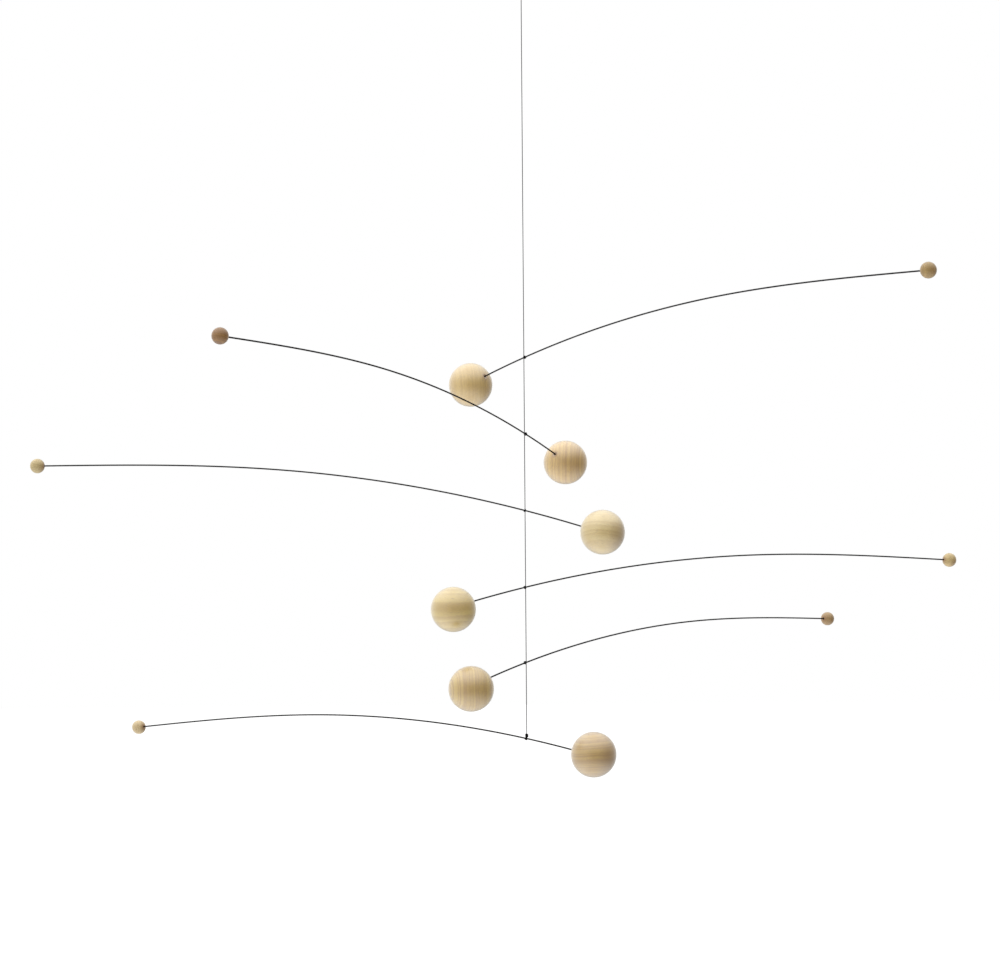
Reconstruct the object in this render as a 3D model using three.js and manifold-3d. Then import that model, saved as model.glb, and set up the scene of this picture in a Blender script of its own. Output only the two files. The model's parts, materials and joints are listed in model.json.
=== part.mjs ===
// A hanging mobile: six bowed wire arms, one under the other on a single thread. Each arm has a large wooden ball
// on its short end and a small one on its long end, and is tied to the thread where the two balance.
// Each arm turns about the thread, and rocks a little in the hitch that ties it there. Millimetres, +Z up. The
// origin is inside the top of the thread's loop, where a hook bears.
import * as THREE from 'three';
import { mergeVertices } from 'three/addons/utils/BufferGeometryUtils.js';
import Module from 'manifold-3d';

const wasm = await Module();
wasm.setup();

// The turned wooden balls. Each sits on its wire in a hole drilled from one side.
const BALL_DIAMETER = 30;
const BALL_HOLE_DEPTH = 12;
const BEAD_DIAMETER = 10;
const BEAD_HOLE_DEPTH = 4.5;

// The wire of every arm, measured along its bow from the ball's centre to the bead's centre. It is bent evenly from
// the ball on, and past the bend it eases until it is straight at the bead.
const WIRE_DIAMETER = 1;
const WIRE_LENGTH = 392;
const BEND_RADIUS = 964;
const BEND_LENGTH = 226;
const SLOPE_AT_BALL = 17.15; // degrees, for an arm with no tilt

// The thread, its loop for a hook, and the knots tied in it
const THREAD_DIAMETER = 0.5;
const LOOP_HEIGHT = 14; // inside, from the knot to where the hook bears
const LOOP_WIDTH = 7;
const LOOP_KNOT_DIAMETER = 2.4;
const LOOP_KNOT_HEIGHT = 3.2;
const HITCH_TURNS = 3;
const HITCH_THICKNESS = 0.5; // of the turns around the wire
const ROCKING = 5; // degrees each way that an arm rocks in its hitch
const END_KNOT_DIAMETER = 2.2;
const END_KNOT_HEIGHT = 2.8;
const TAIL = 1.2; // of the thread below the lowest wire's centre

// Between pieces that touch: the wire in its holes, and the thread beside a wire or in a knot
const CLEARANCE = 0.1;

// The arms from the top down. above: thread from the arm before, or from the loop's top. bearing: where the bead
// points, turning left from +X. tilt: the bead's end raised. drilledUp: how far the ball's centre lies above the line
// of its hole. Angles are in degrees.
const ARMS = [
  { above: 264, bearing: -45, tilt: -0.5, drilledUp: -0.8 },
  { above: 52.1, bearing: -122.1, tilt: 1.3, drilledUp: -0.5 },
  { above: 51.6, bearing: 174.6, tilt: 1.2, drilledUp: 0.5 },
  { above: 51.6, bearing: 24, tilt: -1.1, drilledUp: -1.4 },
  { above: 50.6, bearing: 46.4, tilt: 0.7, drilledUp: -1.6 },
  { above: 50.5, bearing: 147, tilt: -3.8, drilledUp: 0.8 },
];

// Grams in a cubic millimetre. An arm is tied where it hangs still at its tilt.
const WOOD_DENSITY = 600e-6;
const STEEL_DENSITY = 7850e-6;

// How finely the round forms are cut
const BALL_DETAIL = 5;
const BEAD_DETAIL = 2;
const TUBE_SIDES = 8;
const HOLE_SIDES = 8;
const BARREL_SIDES = 10;
const WIRE_STEPS = 18;
const LOOP_STEPS = 22;
const THREAD_STEPS = 24;
const BALANCE_ROUNDS = 6; // each brings the balance point closer
const BOW_STEP = 0.5; // mm along the wire when its bow is added up

const ballRadius = BALL_DIAMETER / 2;
const beadRadius = BEAD_DIAMETER / 2;
const wireRadius = WIRE_DIAMETER / 2;
const threadRadius = THREAD_DIAMETER / 2;
const holeRadius = wireRadius + CLEARANCE;
const wireBeside = threadRadius + wireRadius + CLEARANCE; // the wire passes beside the thread
const hitchLength = HITCH_TURNS * THREAD_DIAMETER;

const wood = new THREE.MeshStandardMaterial({ color: 0xd9bd92, roughness: 0.6, metalness: 0 });
const steel = new THREE.MeshStandardMaterial({ color: 0x2a2a2c, roughness: 0.4, metalness: 0.8 });
const cotton = new THREE.MeshStandardMaterial({ color: 0x1c1b1b, roughness: 0.9, metalness: 0 });

const radians = THREE.MathUtils.degToRad;

// Solids, for cuts and joins

function solidOf(geometry) {
  const bare = geometry.clone();
  bare.deleteAttribute('normal');
  bare.deleteAttribute('uv');
  const merged = mergeVertices(bare, 1e-4);
  const mesh = new wasm.Mesh({
    numProp: 3,
    vertProperties: new Float32Array(merged.attributes.position.array),
    triVerts: new Uint32Array(merged.index.array),
  });
  return new wasm.Manifold(mesh);
}

function geometryOf(solid) {
  const mesh = solid.getMesh();
  const geometry = new THREE.BufferGeometry();
  geometry.setAttribute('position', new THREE.BufferAttribute(mesh.vertProperties, 3));
  geometry.setIndex(new THREE.BufferAttribute(mesh.triVerts, 1));
  geometry.computeVertexNormals();
  return geometry;
}

// A round bar with flat ends along a curve. Its section has the area of the true circle.
function tube(curve, radius, steps, sides = TUBE_SIDES) {
  const corner = radius * Math.sqrt((2 * Math.PI) / sides / Math.sin((2 * Math.PI) / sides));
  const section = [];
  for (let i = 0; i < sides; i += 1) {
    const angle = (2 * Math.PI * i) / sides;
    section.push(new THREE.Vector2(corner * Math.cos(angle), corner * Math.sin(angle)));
  }
  return new THREE.ExtrudeGeometry(new THREE.Shape(section), { steps, extrudePath: curve, bevelEnabled: false });
}

// A barrel about the Z axis, with rounded shoulders, centred on the origin
function barrel(radius, height) {
  const shoulder = Math.min(radius, height / 2) / 2;
  const profile = [
    new THREE.Vector2(0, -height / 2),
    new THREE.Vector2(radius - shoulder, -height / 2),
    new THREE.Vector2(radius, -height / 2 + shoulder),
    new THREE.Vector2(radius, height / 2 - shoulder),
    new THREE.Vector2(radius - shoulder, height / 2),
    new THREE.Vector2(0, height / 2),
  ];
  return new THREE.LatheGeometry(profile, BARREL_SIDES).rotateX(Math.PI / 2);
}

// The bow of an arm's wire in its own plane, x level and z up, from the ball's centre

function slopeAt(length) {
  const eased = Math.max(length - BEND_LENGTH, 0);
  const easing = (eased * eased) / (2 * (WIRE_LENGTH - BEND_LENGTH));
  return radians(SLOPE_AT_BALL) - (length - easing) / BEND_RADIUS;
}

function bowPoint(length) {
  const count = Math.max(1, Math.round(Math.abs(length) / BOW_STEP));
  const step = length / count;
  let x = 0;
  let z = 0;
  for (let i = 0; i < count; i += 1) {
    const slope = slopeAt((i + 0.5) * step);
    x += step * Math.cos(slope);
    z += step * Math.sin(slope);
  }
  return new THREE.Vector3(x, 0, z);
}

// The place along the wire whose level distance from the ball's centre is x
function lengthAt(x) {
  let length = x;
  for (let i = 0; i < BALANCE_ROUNDS; i += 1) {
    length += (x - bowPoint(length).x) / Math.cos(slopeAt(length));
  }
  return length;
}

// A stretch of the bow
class Bow extends THREE.Curve {
  constructor(from, to) {
    super();
    this.from = from;
    this.to = to;
  }

  getPoint(t, target = new THREE.Vector3()) {
    return target.copy(bowPoint(this.from + t * (this.to - this.from)));
  }
}

// The pieces of one arm, in the bow's own frame

const wireStart = ballRadius - BALL_HOLE_DEPTH;
const wireEnd = WIRE_LENGTH - beadRadius + BEAD_HOLE_DEPTH;

function drilled(radius, detail, centre, holeFrom, holeTo) {
  const ball = new THREE.IcosahedronGeometry(radius, detail).translate(centre.x, centre.y, centre.z);
  const hole = tube(new Bow(holeFrom, holeTo), holeRadius, 1, HOLE_SIDES);
  return geometryOf(solidOf(ball).subtract(solidOf(hole)));
}

// Each hole runs past the ball's surface by the wire's radius, and its bottom clears the wire's end.
function armPieces(arm) {
  const ballCentre = bowPoint(0);
  ballCentre.z += arm.drilledUp;
  const ballMouth = ballRadius + wireRadius;
  const beadMouth = WIRE_LENGTH - beadRadius - wireRadius;
  return {
    wire: tube(new Bow(wireStart, wireEnd), wireRadius, WIRE_STEPS),
    ball: drilled(ballRadius, BALL_DETAIL, ballCentre, wireStart - CLEARANCE, ballMouth),
    bead: drilled(beadRadius, BEAD_DETAIL, bowPoint(WIRE_LENGTH), beadMouth, wireEnd + CLEARANCE),
  };
}

function centreOfMass(weighed) {
  const moment = new THREE.Vector3();
  let mass = 0;
  for (const [geometry, density] of weighed) {
    const corners = (geometry.index ? geometry.toNonIndexed() : geometry).attributes.position;
    for (let i = 0; i < corners.count; i += 3) {
      const [a, b, c] = [0, 1, 2].map((j) => new THREE.Vector3().fromBufferAttribute(corners, i + j));
      const share = (density * a.dot(b.clone().cross(c))) / 6;
      mass += share;
      moment.addScaledVector(a.add(b).add(c), share / 4);
    }
  }
  return moment.divideScalar(mass);
}

// How far along the wire the arm is tied, so that its centre of mass hangs straight below the knot at its tilt
function knotLength(pieces, tilt) {
  const centre = centreOfMass([
    [pieces.wire, STEEL_DENSITY],
    [pieces.ball, WOOD_DENSITY],
    [pieces.bead, WOOD_DENSITY],
  ]);
  let length = lengthAt(centre.x);
  for (let i = 0; i < BALANCE_ROUNDS; i += 1) {
    length = lengthAt(centre.x + (bowPoint(length).z - centre.z) * Math.tan(radians(tilt)));
  }
  return length;
}

// The thread's turns around the wire, in a frame with the thread on the Z axis. Their hole leaves room for the wire
// to rock. The lowest hitch has the thread's end knot on it.
function hitch(slope, lowest) {
  const along = (geometry) => geometry.rotateY(Math.PI / 2 - slope).translate(0, wireBeside, 0);
  const inside = holeRadius + (hitchLength / 2) * Math.sin(radians(ROCKING));
  const outside = inside + HITCH_THICKNESS;
  let turns = solidOf(along(barrel(outside, hitchLength)));
  if (lowest) {
    const above = inside + END_KNOT_HEIGHT / 2;
    turns = turns.add(solidOf(barrel(END_KNOT_DIAMETER / 2, END_KNOT_HEIGHT).translate(0, 0, above)));
  }
  const reach = 2 * (outside + END_KNOT_HEIGHT);
  const axis = new THREE.LineCurve3(new THREE.Vector3(0, 0, -reach), new THREE.Vector3(0, 0, reach));
  const threadHole = solidOf(tube(axis, threadRadius + CLEARANCE, 1, HOLE_SIDES));
  const wireHole = solidOf(along(tube(axis, inside, 1, HOLE_SIDES)));
  return geometryOf(turns.subtract(threadHole).subtract(wireHole));
}

// The thread: its loop, the knot that closes the loop, and the straight length down to the lowest arm

function thread(bottom) {
  const knotTop = -LOOP_HEIGHT;
  const top = threadRadius; // the hook bears on the thread's inner side, at the origin
  const side = LOOP_WIDTH / 2 + threadRadius;
  const knotCentre = knotTop - LOOP_KNOT_HEIGHT / 2;
  const half = (sign) => new THREE.CubicBezierCurve3(
    new THREE.Vector3(0, 0, knotCentre),
    new THREE.Vector3(sign * side * 0.8, 0, knotTop * 0.8),
    new THREE.Vector3(sign * side * 1.5, 0, top),
    new THREE.Vector3(0, 0, top),
  );
  const rise = half(-1);
  const fall = half(1);
  const loop = new THREE.CurvePath();
  loop.add(rise);
  loop.add(new THREE.CubicBezierCurve3(fall.v3, fall.v2, fall.v1, fall.v0));
  const line = new THREE.LineCurve3(new THREE.Vector3(0, 0, knotCentre), new THREE.Vector3(0, 0, bottom));
  const knot = barrel(LOOP_KNOT_DIAMETER / 2, LOOP_KNOT_HEIGHT).translate(0, 0, knotCentre);
  const round = solidOf(tube(loop, threadRadius, LOOP_STEPS));
  return geometryOf(round.add(solidOf(tube(line, threadRadius, THREAD_STEPS))).add(solidOf(knot)));
}

// The whole mobile

const mobile = new THREE.Group();

function addMesh(parent, name, geometry, material) {
  const mesh = new THREE.Mesh(geometry, material);
  mesh.name = name;
  parent.add(mesh);
}

let height = 0;
ARMS.forEach((arm, index) => {
  const number = index + 1;
  const pieces = armPieces(arm);
  const tied = knotLength(pieces, arm.tilt);
  const knot = bowPoint(tied);

  height -= arm.above;
  const turned = new THREE.Group();
  turned.position.z = height;
  turned.rotation.z = radians(arm.bearing);
  mobile.add(turned);
  const tilted = new THREE.Group();
  tilted.position.y = wireBeside;
  tilted.rotation.y = -radians(arm.tilt);
  turned.add(tilted);
  const tiedAt = new THREE.Group();
  tiedAt.position.copy(knot).negate();
  tilted.add(tiedAt);

  addMesh(tiedAt, `wire_${number}`, pieces.wire, steel);
  addMesh(tiedAt, `ball_${number}`, pieces.ball, wood);
  addMesh(tiedAt, `bead_${number}`, pieces.bead, wood);
  const slope = slopeAt(tied) + radians(arm.tilt);
  addMesh(turned, `hitch_${number}`, hitch(slope, number === ARMS.length), cotton);
});
addMesh(mobile, 'thread', thread(height - TAIL), cotton);

export default mobile;
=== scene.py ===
# A hanging mobile: six bowed wire arms, each with a large and a small wooden ball, tied one under the other
# on a thread. Metres, +Z up. The origin is inside the top of the thread's loop, where a hook bears.
import json
import math

import bmesh
import bpy
from mathutils import Matrix, Vector


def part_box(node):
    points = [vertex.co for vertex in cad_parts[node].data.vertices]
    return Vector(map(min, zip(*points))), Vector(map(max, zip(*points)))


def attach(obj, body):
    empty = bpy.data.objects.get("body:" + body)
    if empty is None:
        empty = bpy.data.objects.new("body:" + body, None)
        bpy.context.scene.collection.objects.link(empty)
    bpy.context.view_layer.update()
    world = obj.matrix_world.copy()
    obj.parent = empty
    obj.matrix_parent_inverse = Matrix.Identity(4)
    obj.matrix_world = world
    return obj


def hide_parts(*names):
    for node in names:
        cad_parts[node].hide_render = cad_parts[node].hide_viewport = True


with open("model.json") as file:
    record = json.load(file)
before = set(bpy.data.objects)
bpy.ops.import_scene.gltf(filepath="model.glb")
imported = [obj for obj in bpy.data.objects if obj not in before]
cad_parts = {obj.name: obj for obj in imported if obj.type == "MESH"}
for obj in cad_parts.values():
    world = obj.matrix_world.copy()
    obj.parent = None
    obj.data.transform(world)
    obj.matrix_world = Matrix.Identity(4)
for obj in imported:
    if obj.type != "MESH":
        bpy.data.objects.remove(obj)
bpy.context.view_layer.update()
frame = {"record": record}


# The camera stands a little above the lowest arm and left of the thread. It has a long lens, is aimed
# slightly up, and is turned a trace clockwise.
CAMERA_PLACE = (-0.0167, -1.9054, -0.4692)
AIMED_UP = math.radians(3.67)
TURNED = 0.0071
LENS = 102.1

camera_data = bpy.data.cameras.new("studio_camera")
camera_data.sensor_fit = "HORIZONTAL"
camera_data.sensor_width = 36
camera_data.lens = LENS
camera_data.clip_start = 0.05
camera_data.clip_end = 60
camera = bpy.data.objects.new("studio_camera", camera_data)
camera.location = CAMERA_PLACE
aim = Matrix.Rotation(math.radians(90) + AIMED_UP, 3, "X") @ Matrix.Rotation(-TURNED, 3, "Z")
camera.rotation_euler = aim.to_euler()
bpy.context.collection.objects.link(camera)
bpy.context.scene.camera = camera


# The thread is black, waxed and plied, 0.5 mm thick. One taut length of it runs from the lowest arm up
# through every hitch to a small tied loop, which hangs on a hook just above the picture.
THREAD = 0.0005
THREAD_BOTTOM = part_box("thread")[0][2]
STRAIGHT_POINTS = 14
KNOT_CENTRE = -0.0156
KNOT_BELOW = 0.0013
LOOP_TOP = 0.00025
LOOP_REACH = 0.005625
LOOP_SPREAD = Vector((0.003, 0, 0.0044))


def new_material(name):
    material = bpy.data.materials.new(name)
    material.use_nodes = True
    tree = material.node_tree
    return material, tree, tree.nodes["Principled BSDF"]


def add_node(tree, kind, **settings):
    node = tree.nodes.new(kind)
    for key, value in settings.items():
        if key in node.inputs:
            node.inputs[key].default_value = value
        else:
            setattr(node, key, value)
    return node


def blend_colours(tree, factor, first, second, method="MIX"):
    mix = tree.nodes.new("ShaderNodeMix")
    mix.data_type = "RGBA"
    mix.blend_type = method
    for socket, value in ((mix.inputs[0], factor), (mix.inputs[6], first), (mix.inputs[7], second)):
        if isinstance(value, (int, float, tuple)):
            socket.default_value = value
        else:
            tree.links.new(value, socket)
    return mix.outputs[2]


def thread_material(name, along):
    material, tree, shader = new_material(name)
    place = add_node(tree, "ShaderNodeTexCoord")
    ply = add_node(tree, "ShaderNodeTexWave", Scale=along, Distortion=1.0, Detail=1.0)
    ply.bands_direction = "DIAGONAL"
    tree.links.new(place.outputs["Object"], ply.inputs["Vector"])
    fibre = add_node(tree, "ShaderNodeTexNoise", Scale=9000.0, Detail=3.0)
    tree.links.new(place.outputs["Object"], fibre.inputs["Vector"])
    colour = blend_colours(tree, ply.outputs["Color"], (0.002, 0.002, 0.002, 1), (0.006, 0.006, 0.006, 1))
    worn = blend_colours(tree, fibre.outputs["Fac"], colour, (0.008, 0.007, 0.007, 1), "LIGHTEN")
    tree.links.new(worn, shader.inputs["Base Color"])
    bump = add_node(tree, "ShaderNodeBump", Strength=0.3, Distance=0.00004)
    tree.links.new(ply.outputs["Fac"], bump.inputs["Height"])
    tree.links.new(bump.outputs["Normal"], shader.inputs["Normal"])
    shader.inputs["Roughness"].default_value = 0.85
    shader.inputs["Specular IOR Level"].default_value = 0.08
    return material


black_thread = thread_material("black_waxed_thread", 900.0)

knot_centre = Vector((0, 0, KNOT_CENTRE))
mirrored = Vector((-LOOP_SPREAD.x, 0, LOOP_SPREAD.z))
line_data = bpy.data.curves.new("hanging_thread", "CURVE")
line_data.dimensions = "3D"
line_data.bevel_depth = THREAD / 2
line_data.bevel_resolution = 3
line_data.resolution_u = 24
line_data.use_fill_caps = True
line = line_data.splines.new("BEZIER")
line.bezier_points.add(STRAIGHT_POINTS + 2)
straight_top = KNOT_CENTRE - KNOT_BELOW
for i in range(STRAIGHT_POINTS):
    point = line.bezier_points[i]
    point.co = (0, 0, THREAD_BOTTOM + (straight_top - THREAD_BOTTOM) * i / (STRAIGHT_POINTS - 1))
    point.handle_left_type = "AUTO"
    point.handle_right_type = "AUTO"
into_knot = line.bezier_points[STRAIGHT_POINTS]
into_knot.co = knot_centre
into_knot.handle_left = knot_centre - mirrored.normalized() * 0.0004
into_knot.handle_right = knot_centre + mirrored
over_hook = line.bezier_points[STRAIGHT_POINTS + 1]
over_hook.co = (0, 0, LOOP_TOP)
over_hook.handle_left = (-LOOP_REACH, 0, LOOP_TOP)
over_hook.handle_right = (LOOP_REACH, 0, LOOP_TOP)
back_in_knot = line.bezier_points[STRAIGHT_POINTS + 2]
back_in_knot.co = knot_centre
back_in_knot.handle_left = knot_centre + LOOP_SPREAD
back_in_knot.handle_right = knot_centre - LOOP_SPREAD * 0.1
hanging_thread = bpy.data.objects.new("hanging_thread", line_data)
bpy.context.collection.objects.link(hanging_thread)
hanging_thread.data.materials.append(black_thread)


def finished(name, mesh_edit, material, smooth=True):
    mesh = bpy.data.meshes.new(name)
    mesh_edit.to_mesh(mesh)
    mesh_edit.free()
    for face in mesh.polygons:
        face.use_smooth = smooth
    piece = bpy.data.objects.new(name, mesh)
    bpy.context.collection.objects.link(piece)
    piece.data.materials.append(material)
    return piece


# A coil is the thread's section spun round an axis and drawn along it at the same time. Steps are to a turn.
def wind(mesh_edit, centre, axis, radius, turns, advance, start=0.0, steps=18):
    axis = Vector(axis).normalized()
    side = axis.orthogonal().normalized()
    side.rotate(Matrix.Rotation(start, 3, axis))
    first = Vector(centre) + side * radius - axis * (advance / 2)
    ring = bmesh.ops.create_circle(mesh_edit, segments=10, radius=THREAD / 2, cap_ends=False)["verts"]
    heading = axis.cross(side).normalized()
    facing = heading.to_track_quat("Z", "Y").to_matrix().to_4x4()
    bmesh.ops.transform(mesh_edit, matrix=Matrix.Translation(first) @ facing, verts=ring)
    edges = list({e for v in ring for e in v.link_edges})
    count = max(3, int(steps * turns))
    spun = bmesh.ops.spin(
        mesh_edit, geom=ring + edges, cent=Vector(centre), axis=axis, dvec=axis * (advance / count),
        angle=math.tau * turns, steps=count, use_merge=False, use_duplicate=False,
    )
    last = [g for g in spun["geom_last"] if isinstance(g, bmesh.types.BMEdge)]
    bmesh.ops.edgeloop_fill(mesh_edit, edges=edges)
    bmesh.ops.edgeloop_fill(mesh_edit, edges=last)


# The loop's knot is wound twice over, as a small noose knot is.
knot_edit = bmesh.new()
wind(knot_edit, knot_centre, (0, 0, 1), radius=0.00058, turns=5.2, advance=0.0026)
wind(knot_edit, knot_centre, (0, 0, 1), radius=0.00094, turns=3.6, advance=-0.0018, start=1.0)
bmesh.ops.recalc_face_normals(knot_edit, faces=knot_edit.faces)
loop_knot = finished("loop_knot", knot_edit, black_thread)

for piece in (hanging_thread, loop_knot):
    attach(piece, "line")
    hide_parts("thread")


# Each arm is one length of 1 mm dark spring steel wire, cut square and drawn to a gentle bow that is even
# from the large ball on and eases to straight at the small one. Both balls are pushed onto its ends.
ARM_COUNT = 6
WIRE = 0.001
WIRE_LENGTH = 0.392
BEND_RADIUS = 0.964
BEND_LENGTH = 0.226
SLOPE_AT_BALL = math.radians(17.15)
BALL = 0.030
BALL_HOLE = 0.012
BEAD = 0.010
BEAD_HOLE = 0.0045
WIRE_STEPS = 96
BOW_STEP = 0.0005
NEAREST_KNOT = 0.02
FARTHEST_KNOT = 0.09


def slope_at(length):
    eased = max(length - BEND_LENGTH, 0)
    return SLOPE_AT_BALL - (length - eased * eased / (2 * (WIRE_LENGTH - BEND_LENGTH))) / BEND_RADIUS


def bow_point(length):
    count = max(1, round(abs(length) / BOW_STEP))
    step = length / count
    slopes = [slope_at((i + 0.5) * step) for i in range(count)]
    return Vector((step * sum(map(math.cos, slopes)), 0, step * sum(map(math.sin, slopes))))


def middle(node):
    low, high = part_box(node)
    return (Vector(low) + Vector(high)) / 2


# An arm hangs in its own upright plane beside the thread, tied where its two ends balance. Its knot's place
# along the wire is the one from which the bead is as far away as the frame has it.
def arm_place(number):
    rock = next(j for j in frame["record"]["behaviour"]["joints"] if j["name"] == f"rock_{number}")
    knot = Vector(rock["pos_m"])
    outward = Vector((-rock["axis"][1], rock["axis"][0], 0)).normalized()
    to_bead = middle(f"bead_{number}") - knot
    level, rise = to_bead.dot(outward), to_bead.z
    end = bow_point(WIRE_LENGTH)
    near, far = NEAREST_KNOT, FARTHEST_KNOT
    for _ in range(40):
        tied = (near + far) / 2
        if (end - bow_point(tied)).length > math.hypot(level, rise):
            near = tied
        else:
            far = tied
    reach = end - bow_point(tied)
    tilt = math.atan2(rise, level) - math.atan2(reach.z, reach.x)
    slope = slope_at(tied) + tilt
    along = (outward * math.cos(slope) + Vector((0, 0, math.sin(slope)))).normalized()
    turned = Matrix.Rotation(math.atan2(outward.y, outward.x), 4, "Z")
    tilted = Matrix.Rotation(-tilt, 4, "Y")
    place = Matrix.Translation(knot) @ turned @ tilted @ Matrix.Translation(-bow_point(tied))
    return place, knot, along


def ranged(tree, value, low, high, to_low, to_high, kind="LINEAR"):
    node = add_node(tree, "ShaderNodeMapRange", interpolation_type=kind)
    for end, number in (("From Min", low), ("From Max", high), ("To Min", to_low), ("To Max", to_high)):
        node.inputs[end].default_value = number
    tree.links.new(value, node.inputs["Value"])
    return node.outputs["Result"]


def spring_steel():
    material, tree, shader = new_material("dark_spring_steel")
    place = add_node(tree, "ShaderNodeTexCoord")
    mottle = add_node(tree, "ShaderNodeTexNoise", Scale=420.0, Detail=4.0, Roughness=0.6)
    tree.links.new(place.outputs["Object"], mottle.inputs["Vector"])
    mottled = mottle.outputs["Fac"]
    colour = blend_colours(tree, mottled, (0.003, 0.003, 0.003, 1), (0.011, 0.0105, 0.010, 1))
    tree.links.new(colour, shader.inputs["Base Color"])
    tree.links.new(ranged(tree, mottled, 0, 1, 0.34, 0.58), shader.inputs["Roughness"])
    shader.inputs["Specular IOR Level"].default_value = 0.15
    return material


dark_steel = spring_steel()
arms = {}
for number in range(1, ARM_COUNT + 1):
    arms[number] = arm_place(number)
    place = arms[number][0]
    start = BALL / 2 - BALL_HOLE
    stop = WIRE_LENGTH - BEAD / 2 + BEAD_HOLE
    wire_edit = bmesh.new()
    ring = bmesh.ops.create_circle(wire_edit, segments=14, radius=WIRE / 2, cap_ends=False)["verts"]
    facing = Matrix.Rotation(math.radians(90) - slope_at(start), 4, "Y")
    bmesh.ops.transform(wire_edit, matrix=Matrix.Translation(bow_point(start)) @ facing, verts=ring)
    edges = list(wire_edit.edges)
    first_edges = edges
    before = start
    for i in range(WIRE_STEPS):
        after = start + (stop - start) * (i + 1) / WIRE_STEPS
        drawn = bmesh.ops.extrude_edge_only(wire_edit, edges=edges)["geom"]
        ring = [g for g in drawn if isinstance(g, bmesh.types.BMVert)]
        edges = [g for g in drawn if isinstance(g, bmesh.types.BMEdge)]
        bmesh.ops.rotate(
            wire_edit, cent=bow_point(before), verts=ring,
            matrix=Matrix.Rotation(slope_at(before) - slope_at(after), 3, "Y"),
        )
        bmesh.ops.translate(wire_edit, vec=bow_point(after) - bow_point(before), verts=ring)
        before = after
    bmesh.ops.edgeloop_fill(wire_edit, edges=first_edges)
    bmesh.ops.edgeloop_fill(wire_edit, edges=edges)
    bmesh.ops.transform(wire_edit, matrix=place, verts=wire_edit.verts)
    bmesh.ops.recalc_face_normals(wire_edit, faces=wire_edit.faces)
    wire = finished(f"bowed_wire_{number}", wire_edit, dark_steel)
    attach(wire, f"arm_{number}")
    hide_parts(f"wire_{number}")


# The balls are turned from pale beech, sanded and waxed, the small ones less than the large. Each is
# drilled from one side, with the hole's edge broken by the drill, and sits on its wire by friction. The
# grain runs its own way in every ball.
HOLE_CLEARANCE = 0.0001


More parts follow.
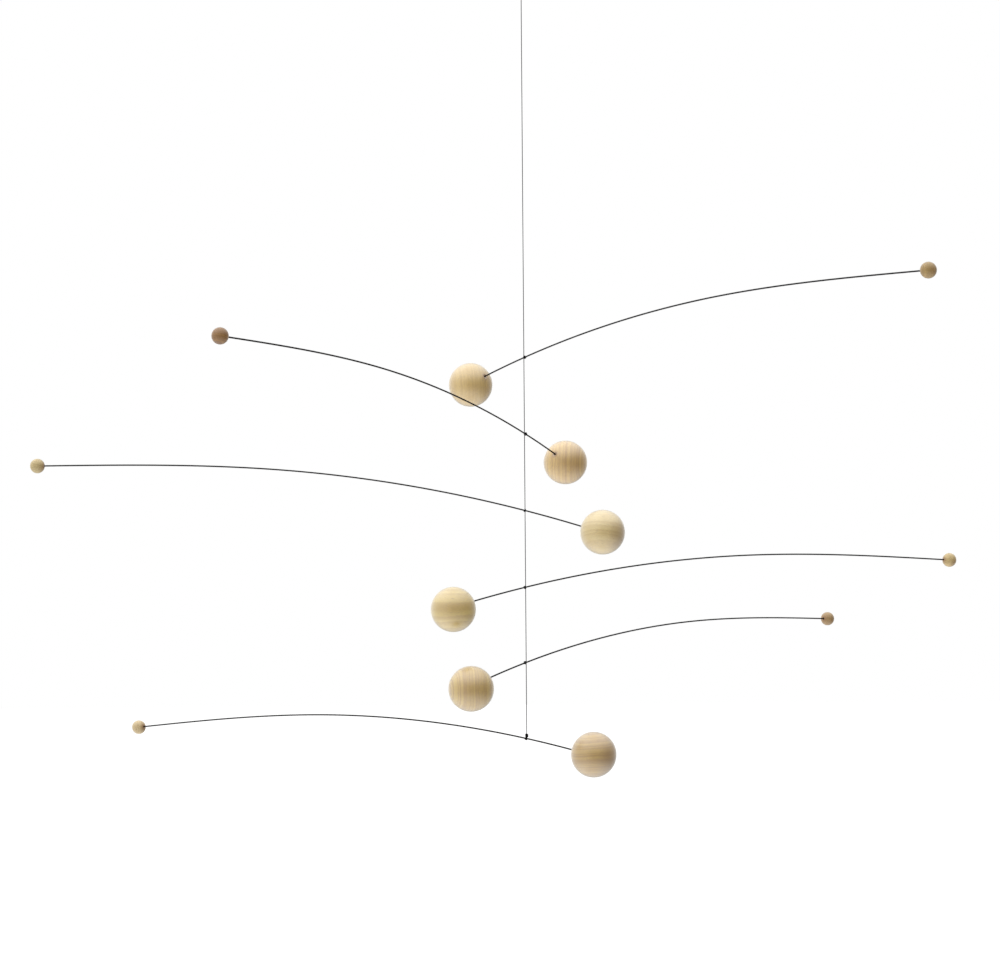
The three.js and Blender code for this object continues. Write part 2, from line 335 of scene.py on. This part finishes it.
def wood_grain():
    group = bpy.data.node_groups.new("turned_wood_grain", "ShaderNodeTree")
    for name, kind, value in (
        ("Vector", "NodeSocketVector", None),
        ("Pale", "NodeSocketColor", (0.80, 0.66, 0.45, 1)),
        ("Tan", "NodeSocketColor", (0.55, 0.38, 0.19, 1)),
        ("Ring spacing", "NodeSocketFloat", 900.0),
        ("Ring strength", "NodeSocketFloat", 0.5),
        ("Seed", "NodeSocketFloat", 0.0),
        ("From hole", "NodeSocketFloat", 1.0),
        ("Painted shade side", "NodeSocketFloat", 0.0),
        ("Painted shade strength", "NodeSocketFloat", 0.3),
    ):
        socket = group.interface.new_socket(name=name, in_out="INPUT", socket_type=kind)
        if value is not None:
            socket.default_value = value
    group.interface.new_socket(name="Color", in_out="OUTPUT", socket_type="NodeSocketColor")
    group.interface.new_socket(name="Roughness", in_out="OUTPUT", socket_type="NodeSocketFloat")
    group.interface.new_socket(name="Height", in_out="OUTPUT", socket_type="NodeSocketFloat")
    inside = add_node(group, "NodeGroupInput")
    outside = add_node(group, "NodeGroupOutput")
    link = group.links.new
    # slow wander of the rings
    wander = add_node(group, "ShaderNodeTexNoise", Scale=60.0, Detail=2.0)
    wander.noise_dimensions = "4D"
    link(inside.outputs["Vector"], wander.inputs["Vector"])
    link(inside.outputs["Seed"], wander.inputs["W"])
    bent = add_node(group, "ShaderNodeVectorMath", operation="SCALE")
    bent.inputs["Scale"].default_value = 0.0022
    link(wander.outputs["Color"], bent.inputs[0])
    moved = add_node(group, "ShaderNodeVectorMath", operation="ADD")
    link(inside.outputs["Vector"], moved.inputs[0])
    link(bent.outputs[0], moved.inputs[1])
    # growth rings about a pith that runs along Z
    flat = add_node(group, "ShaderNodeVectorMath", operation="MULTIPLY")
    flat.inputs[1].default_value = (1, 1, 0.02)
    link(moved.outputs[0], flat.inputs[0])
    from_pith = add_node(group, "ShaderNodeVectorMath", operation="LENGTH")
    link(flat.outputs[0], from_pith.inputs[0])
    ring_phase = add_node(group, "ShaderNodeMath", operation="MULTIPLY")
    link(from_pith.outputs["Value"], ring_phase.inputs[0])
    link(inside.outputs["Ring spacing"], ring_phase.inputs[1])
    uneven = add_node(group, "ShaderNodeTexNoise", Scale=0.45, Detail=1.0)
    uneven.noise_dimensions = "1D"
    link(ring_phase.outputs[0], uneven.inputs["W"])
    shifted = add_node(group, "ShaderNodeMath", operation="MULTIPLY_ADD")
    shifted.inputs[1].default_value = 3.2
    link(uneven.outputs["Fac"], shifted.inputs[0])
    link(ring_phase.outputs[0], shifted.inputs[2])
    ring_wave = add_node(group, "ShaderNodeMath", operation="FRACT")
    link(shifted.outputs[0], ring_wave.inputs[0])
    ring_ramp = add_node(group, "ShaderNodeValToRGB")
    ring_ramp.color_ramp.interpolation = "EASE"
    ring_ramp.color_ramp.elements[0].position = 0.0
    ring_ramp.color_ramp.elements[0].color = (0, 0, 0, 1)
    ring_ramp.color_ramp.elements[1].position = 0.82
    ring_ramp.color_ramp.elements[1].color = (1, 1, 1, 1)
    ring_ramp.color_ramp.elements.new(1.0).color = (0, 0, 0, 1)
    link(ring_wave.outputs[0], ring_ramp.inputs["Fac"])
    # fibres, drawn out along the grain
    drawn = add_node(group, "ShaderNodeVectorMath", operation="MULTIPLY")
    drawn.inputs[1].default_value = (1, 1, 0.04)
    link(inside.outputs["Vector"], drawn.inputs[0])
    fibre = add_node(group, "ShaderNodeTexNoise", Scale=2600.0, Detail=4.0, Roughness=0.62)
    fibre.noise_dimensions = "4D"
    link(drawn.outputs[0], fibre.inputs["Vector"])
    link(inside.outputs["Seed"], fibre.inputs["W"])
    pores = add_node(group, "ShaderNodeTexVoronoi", Scale=1500.0)
    link(drawn.outputs[0], pores.inputs["Vector"])
    pore_mask = ranged(group, pores.outputs["Distance"], 0.08, 0.24, 1, 0)
    patch = add_node(group, "ShaderNodeTexNoise", Scale=110.0, Detail=2.0)
    patch.noise_dimensions = "4D"
    link(inside.outputs["Vector"], patch.inputs["Vector"])
    link(inside.outputs["Seed"], patch.inputs["W"])
    # colour
    strength = add_node(group, "ShaderNodeMath", operation="MULTIPLY")
    link(ring_ramp.outputs["Color"], strength.inputs[0])
    link(inside.outputs["Ring strength"], strength.inputs[1])
    ringed = blend_colours(group, strength.outputs[0], inside.outputs["Pale"], inside.outputs["Tan"])
    streaks = ranged(group, fibre.outputs["Fac"], 0.3, 0.7, 0.84, 1.09)
    fibred = blend_colours(group, 1.0, ringed, streaks, "MULTIPLY")
    patches = ranged(group, patch.outputs["Fac"], 0.35, 0.7, 0, 0.35)
    patched = blend_colours(group, patches, fibred, (0.90, 0.80, 0.72, 1), "MULTIPLY")
    pored_strength = add_node(group, "ShaderNodeMath", operation="MULTIPLY")
    pored_strength.inputs[1].default_value = 0.22
    link(pore_mask, pored_strength.inputs[0])
    # painted shade: one side of each ball, mostly its right and the face turned to the camera, is painted
    # browner
    painted_shade_side = add_node(group, "ShaderNodeMath", operation="MULTIPLY_ADD")
    painted_shade_side.inputs[1].default_value = 0.9
    link(wander.outputs["Fac"], painted_shade_side.inputs[0])
    link(inside.outputs["Painted shade side"], painted_shade_side.inputs[2])
    painted_shade_amount = add_node(group, "ShaderNodeMath", operation="MULTIPLY")
    link(ranged(group, painted_shade_side.outputs[0], 0.85, 1.50, 0, 1, "SMOOTHSTEP"), painted_shade_amount.inputs[0])
    link(inside.outputs["Painted shade strength"], painted_shade_amount.inputs[1])
    with_painted_shade = blend_colours(group, painted_shade_amount.outputs[0], patched, (0.27, 0.145, 0.045, 1))
    pored = blend_colours(group, pored_strength.outputs[0], with_painted_shade, (0.28, 0.17, 0.08, 1))
    # beech's short brown flecks, a millimetre or two long and lying with the grain
    shortened = add_node(group, "ShaderNodeVectorMath", operation="MULTIPLY")
    shortened.inputs[1].default_value = (1, 1, 0.10)
    link(moved.outputs[0], shortened.inputs[0])
    fleck = add_node(group, "ShaderNodeTexNoise", Scale=2400.0, Detail=1.0)
    fleck.noise_dimensions = "4D"
    link(shortened.outputs[0], fleck.inputs["Vector"])
    link(inside.outputs["Seed"], fleck.inputs["W"])
    flecks = ranged(group, fleck.outputs["Fac"], 0.60, 0.72, 0, 0.50, "SMOOTHSTEP")
    flecked = blend_colours(group, flecks, pored, (0.26, 0.145, 0.06, 1))
    # the wood is painted brown around the hole's mouth, darkest there and fading out over a few millimetres
    browned = ranged(group, inside.outputs["From hole"], 0.0009, 0.0034, 0.75, 0, "SMOOTHSTEP")
    browned_at_hole = blend_colours(group, browned, flecked, (0.27, 0.13, 0.045, 1))
    link(browned_at_hole, outside.inputs["Color"])
    # finish
    link(ranged(group, fibre.outputs["Fac"], 0, 1, 0.46, 0.62), outside.inputs["Roughness"])
    dented = add_node(group, "ShaderNodeMath", operation="SUBTRACT")
    link(fibre.outputs["Fac"], dented.inputs[0])
    link(pore_mask, dented.inputs[1])
    link(dented.outputs[0], outside.inputs["Height"])
    return group


turned_wood_grain = wood_grain()


def turned_wood(
    name, centre, radius, hole, wax, sheen, seed,
    grain_turn, pith, pale, tan, rings, ring_strength, painted_shade_side, painted_shade_strength,
):
    material, tree, shader = new_material(name)
    place = add_node(tree, "ShaderNodeTexCoord")
    centred = add_node(tree, "ShaderNodeMapping", vector_type="POINT")
    centred.inputs["Location"].default_value = -Vector(centre)
    tree.links.new(place.outputs["Object"], centred.inputs["Vector"])
    turned = add_node(tree, "ShaderNodeMapping", vector_type="POINT")
    turned.inputs["Location"].default_value = pith
    turned.inputs["Rotation"].default_value = [math.radians(a) for a in grain_turn]
    tree.links.new(centred.outputs["Vector"], turned.inputs["Vector"])
    grain = add_node(tree, "ShaderNodeGroup")
    grain.node_tree = turned_wood_grain
    grain.inputs["Pale"].default_value = pale
    grain.inputs["Tan"].default_value = tan
    grain.inputs["Ring spacing"].default_value = rings
    grain.inputs["Ring strength"].default_value = ring_strength
    grain.inputs["Seed"].default_value = seed
    tree.links.new(turned.outputs["Vector"], grain.inputs["Vector"])
    from_hole = add_node(tree, "ShaderNodeVectorMath", operation="DISTANCE")
    from_hole.inputs[1].default_value = hole
    tree.links.new(place.outputs["Object"], from_hole.inputs[0])
    tree.links.new(from_hole.outputs["Value"], grain.inputs["From hole"])
    # painted shade: the ball is painted browner on the side this direction points to, mostly the right or
    # the camera side
    towards_painted_shade = add_node(tree, "ShaderNodeVectorMath", operation="DOT_PRODUCT")
    towards_painted_shade.inputs[1].default_value = Vector(painted_shade_side).normalized() / radius
    tree.links.new(centred.outputs["Vector"], towards_painted_shade.inputs[0])
    tree.links.new(towards_painted_shade.outputs["Value"], grain.inputs["Painted shade side"])
    grain.inputs["Painted shade strength"].default_value = painted_shade_strength
    tree.links.new(grain.outputs["Color"], shader.inputs["Base Color"])
    tree.links.new(grain.outputs["Roughness"], shader.inputs["Roughness"])
    bump = add_node(tree, "ShaderNodeBump", Strength=0.18, Distance=0.00006)
    tree.links.new(grain.outputs["Height"], bump.inputs["Height"])
    tree.links.new(bump.outputs["Normal"], shader.inputs["Normal"])
    shader.inputs["Specular IOR Level"].default_value = 0.5
    shader.inputs["Coat Weight"].default_value = wax
    shader.inputs["Coat Roughness"].default_value = 0.40
    shader.inputs["Coat IOR"].default_value = 2.05
    shader.inputs["Sheen Weight"].default_value = sheen
    shader.inputs["Sheen Roughness"].default_value = 0.46
    shader.inputs["Sheen Tint"].default_value = (1.0, 0.99, 0.96, 1)
    return material


# A turned ball starts as a sphere with its pole at the hole's mouth. The pole is opened to the drill's size,
# its edge broken, and the hole's wall drawn down along the wire.
def drilled_ball(name, radius, centre, mouth, inward, depth, broken, segments, material):
    drill = WIRE / 2 + HOLE_CLEARANCE
    edit = bmesh.new()
    bmesh.ops.create_uvsphere(edit, u_segments=segments, v_segments=segments // 2, radius=radius)
    pole = max(edit.verts, key=lambda v: v.co.z)
    bmesh.ops.delete(edit, geom=[pole], context="VERTS")
    rim = [e for e in edit.edges if e.is_boundary]
    facing = mouth.to_track_quat("Z", "Y").to_matrix().to_4x4()
    bmesh.ops.transform(edit, matrix=Matrix.Translation(centre) @ facing, verts=edit.verts)
    axis_point = centre + mouth * radius
    drill_axis = inward.normalized()
    for spread, down in ((drill + broken, 0.0), (drill, broken * 1.3), (drill, depth)):
        if down > 0:
            drawn = bmesh.ops.extrude_edge_only(edit, edges=rim)["geom"]
            rim = [g for g in drawn if isinstance(g, bmesh.types.BMEdge)]
        ring = list({v for e in rim for v in e.verts})
        at = axis_point + drill_axis * down
        for vert in ring:
            around = vert.co - at
            around -= drill_axis * around.dot(drill_axis)
            around.length = spread
            vert.co = at + around
            if down == 0.0:
                out = vert.co - centre
                vert.co = centre + out.normalized() * radius
    bmesh.ops.edgeloop_fill(edit, edges=rim)
    bmesh.ops.recalc_face_normals(edit, faces=edit.faces)
    return finished(name, edit, material)


# Each ball's own wood and painted shade: how its grain is turned in degrees, where the pith lies from its
# centre, its pale and tan colours, its rings to a metre and how strongly they show, which side is painted
# browner as shade, and by how much. The rings show as upright lines where the grain isn't turned, and level
# where it is.
BALL_WOOD = {
    1: dict(
        grain_turn=(3, 2, 0), pith=(0.070, 0.020, 0),
        pale=(0.60, 0.405, 0.10, 1), tan=(0.48, 0.295, 0.05, 1),
        rings=560, ring_strength=0.62, painted_shade_side=(0.8, -0.5, -0.1), painted_shade_strength=0.20,
    ),
    2: dict(
        grain_turn=(2, -3, 0), pith=(-0.060, 0.015, 0),
        pale=(0.65, 0.425, 0.085, 1), tan=(0.45, 0.24, 0.035, 1),
        rings=620, ring_strength=0.92, painted_shade_side=(0.35, -0.9, 0), painted_shade_strength=0.30,
    ),
    3: dict(
        grain_turn=(4, 86, 0), pith=(0.050, 0.018, 0),
        pale=(0.62, 0.47, 0.175, 1), tan=(0.49, 0.33, 0.09, 1),
        rings=260, ring_strength=0.55, painted_shade_side=(0.95, -0.3, -0.25), painted_shade_strength=0.60,
    ),
    4: dict(
        grain_turn=(0, 92, 3), pith=(0.055, 0.008, 0),
        pale=(0.60, 0.44, 0.11, 1), tan=(0.46, 0.30, 0.055, 1),
        rings=190, ring_strength=0.72, painted_shade_side=(0.1, -1, 0), painted_shade_strength=0.12,
    ),
    5: dict(
        grain_turn=(-2, 1, 0), pith=(0.055, 0.018, 0),
        pale=(0.56, 0.38, 0.07, 1), tan=(0.375, 0.21, 0.025, 1),
        rings=520, ring_strength=0.80, painted_shade_side=(0.2, -0.95, 0), painted_shade_strength=0.22,
    ),
    6: dict(
        grain_turn=(3, 93, 0), pith=(-0.060, 0.016, 0),
        pale=(0.46, 0.29, 0.05, 1), tan=(0.33, 0.175, 0.02, 1),
        rings=430, ring_strength=0.78, painted_shade_side=(0.9, -0.42, -0.12), painted_shade_strength=0.62,
    ),
}
BEAD_WOOD = {
    1: dict(
        grain_turn=(5, 8, 0), pith=(0.016, 0.004, 0),
        pale=(0.37, 0.235, 0.06, 1), tan=(0.165, 0.098, 0.02, 1),
        rings=1050, ring_strength=0.6, painted_shade_side=(0.75, -0.6, 0), painted_shade_strength=0.60,
    ),
    2: dict(
        grain_turn=(10, 80, 0), pith=(0.014, 0.002, 0),
        pale=(0.27, 0.125, 0.01, 1), tan=(0.14, 0.05, 0.003, 1),
        rings=1050, ring_strength=0.8, painted_shade_side=(0.15, -1, 0), painted_shade_strength=0.30,
    ),
    3: dict(
        grain_turn=(12, 70, 0), pith=(0.017, 0.002, 0),
        pale=(0.55, 0.43, 0.19, 1), tan=(0.29, 0.21, 0.08, 1),
        rings=1200, ring_strength=0.5, painted_shade_side=(0.95, -0.2, -0.3), painted_shade_strength=0.60,
    ),
    4: dict(
        grain_turn=(20, 80, 0), pith=(0.018, 0.003, 0),
        pale=(0.54, 0.40, 0.165, 1), tan=(0.29, 0.20, 0.07, 1),
        rings=1050, ring_strength=0.5, painted_shade_side=(0.7, -0.3, -0.6), painted_shade_strength=0.55,
    ),
    5: dict(
        grain_turn=(5, 85, 0), pith=(0.015, 0.005, 0),
        pale=(0.385, 0.24, 0.085, 1), tan=(0.20, 0.115, 0.037, 1),
        rings=1050, ring_strength=0.5, painted_shade_side=(0.9, -0.3, -0.4), painted_shade_strength=0.60,
    ),
    6: dict(
        grain_turn=(20, 10, 0), pith=(0.019, 0.004, 0),
        pale=(0.60, 0.46, 0.235, 1), tan=(0.38, 0.28, 0.13, 1),
        rings=1200, ring_strength=0.4, painted_shade_side=(0.9, -0.4, -0.1), painted_shade_strength=0.45,
    ),
}
# A hole runs the way its wire does near the ball, taken over these lengths from the ball's centre.
BALL_REACH = 0.02
BEAD_REACH = 0.004
for number in range(1, ARM_COUNT + 1):
    place = arms[number][0]
    centre = middle(f"ball_{number}")
    start = place @ bow_point(0.0)
    along = ((place @ bow_point(BALL_REACH)) - start).normalized()
    across = (start - centre) - along * (start - centre).dot(along)
    reach = math.sqrt((BALL / 2) ** 2 - across.length_squared)
    mouth = (across + along * reach).normalized()
    wood = turned_wood(
        f"ball_wood_{number}", centre, BALL / 2, hole=centre + mouth * BALL / 2, wax=1.0, sheen=1.0,
        seed=3.7 * number, **BALL_WOOD[number],
    )
    depth = reach - (BALL / 2 - BALL_HOLE) + HOLE_CLEARANCE
    ball = drilled_ball(
        f"turned_ball_{number}", BALL / 2, centre, mouth, -along, depth, broken=0.0004, segments=96,
        material=wood,
    )
    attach(ball, f"arm_{number}")
    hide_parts(f"ball_{number}")

    end = place @ bow_point(WIRE_LENGTH)
    back = ((place @ bow_point(WIRE_LENGTH - BEAD_REACH)) - end).normalized()
    wood = turned_wood(
        f"bead_wood_{number}", end, BEAD / 2, hole=end + back * BEAD / 2, wax=0.2, sheen=0.5,
        seed=50 + 2.9 * number, **BEAD_WOOD[number],
    )
    depth = BEAD_HOLE + HOLE_CLEARANCE
    bead = drilled_ball(
        f"turned_bead_{number}", BEAD / 2, end, back, -back, depth, broken=0.0002, segments=64,
        material=wood,
    )
    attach(bead, f"arm_{number}")
    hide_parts(f"bead_{number}")


# Each hitch is two rounds of the thread laid close around the wire, and the thread crosses back over them
# once. The lowest one is finished with a knot, wound on the thread just above the wire.
HITCH_ROUNDS = 2
HITCH_GAP = 0.00007
END_KNOT_ABOVE = 0.0019
for number in range(1, ARM_COUNT + 1):
    _, knot, along = arms[number]
    hitch_edit = bmesh.new()
    around = WIRE / 2 + HITCH_GAP + THREAD / 2
    wind(hitch_edit, knot, along, around, turns=HITCH_ROUNDS, advance=THREAD * HITCH_ROUNDS)
    wind(hitch_edit, knot, along, around + 0.0002, turns=0.42, advance=-THREAD * 1.4, start=2.4, steps=60)
    bmesh.ops.recalc_face_normals(hitch_edit, faces=hitch_edit.faces)
    hitch = finished(f"hitch_turns_{number}", hitch_edit, black_thread)
    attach(hitch, f"tie_{number}")
    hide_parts(f"hitch_{number}")

above = Vector((0, 0, arms[ARM_COUNT][1].z + END_KNOT_ABOVE))
end_knot_edit = bmesh.new()
wind(end_knot_edit, above, (0, 0, 1), radius=0.00051, turns=4.6, advance=0.0023)
wind(end_knot_edit, above, (0, 0, 1), radius=0.00085, turns=3.6, advance=-0.0018, start=2.0)
bmesh.ops.recalc_face_normals(end_knot_edit, faces=end_knot_edit.faces)
end_knot = finished("end_knot", end_knot_edit, black_thread)
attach(end_knot, "tie_6")
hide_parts("hitch_6")


# The studio: a plain white floor well below the mobile, and a soft white surround that is brightest overhead
# and underneath, less so on the left, and dim behind, towards the camera and on the right.
FLOOR_LEVEL = -0.80
FLOOR_RADIUS = 20.0

floor_edit = bmesh.new()
bmesh.ops.create_circle(floor_edit, segments=96, radius=FLOOR_RADIUS, cap_ends=True)
bmesh.ops.translate(floor_edit, vec=(0, 0, FLOOR_LEVEL), verts=floor_edit.verts)
white_floor, _, floor_shader = new_material("white_floor")
floor_shader.inputs["Base Color"].default_value = (0.25, 0.25, 0.25, 1)
floor_shader.inputs["Roughness"].default_value = 1.0
floor_shader.inputs["Specular IOR Level"].default_value = 0.0
floor_shader.inputs["Emission Color"].default_value = (1, 1, 1, 1)
floor_shader.inputs["Emission Strength"].default_value = 0.75
floor = finished("studio_floor", floor_edit, white_floor, smooth=False)
floor.visible_diffuse = False
floor.visible_glossy = False

world = bpy.data.worlds.new("studio_surround")
bpy.context.scene.world = world
world.use_nodes = True
surround = world.node_tree
towards = add_node(surround, "ShaderNodeTexCoord")
sides = add_node(surround, "ShaderNodeSeparateXYZ")
surround.links.new(towards.outputs["Generated"], sides.inputs[0])
lit = None
for side, dark_at, bright_at, strength in (
    ("Z", 0.2, 1.0, 2.16), ("Z", -0.2, -1.0, 1.62), ("X", 0.0, -1.0, 0.88), ("Y", 0.3, 1.0, 0.11),
    ("Y", -0.2, -1.0, 0.34), ("X", 0.0, 1.0, 0.07),
):
    panel = ranged(surround, sides.outputs[side], dark_at, bright_at, 0, strength, "SMOOTHSTEP")
    if lit is None:
        lit = panel
        continue
    both = add_node(surround, "ShaderNodeMath", operation="ADD")
    surround.links.new(lit, both.inputs[0])
    surround.links.new(panel, both.inputs[1])
    lit = both.outputs[0]
background = surround.nodes["Background"]
background.inputs["Color"].default_value = (1, 1, 1, 1)
surround.links.new(lit, background.inputs["Strength"])
seen = add_node(surround, "ShaderNodeBackground")
seen.inputs["Color"].default_value = (1, 1, 1, 1)
seen.inputs["Strength"].default_value = 1.0
ray = add_node(surround, "ShaderNodeLightPath")
either = add_node(surround, "ShaderNodeMixShader")
surround.links.new(ray.outputs["Is Camera Ray"], either.inputs[0])
surround.links.new(background.outputs[0], either.inputs[1])
surround.links.new(seen.outputs[0], either.inputs[2])
surround.links.new(either.outputs[0], surround.nodes["World Output"].inputs["Surface"])

bpy.context.scene.view_settings.view_transform = "Standard"
bpy.context.scene.view_settings.look = "None"
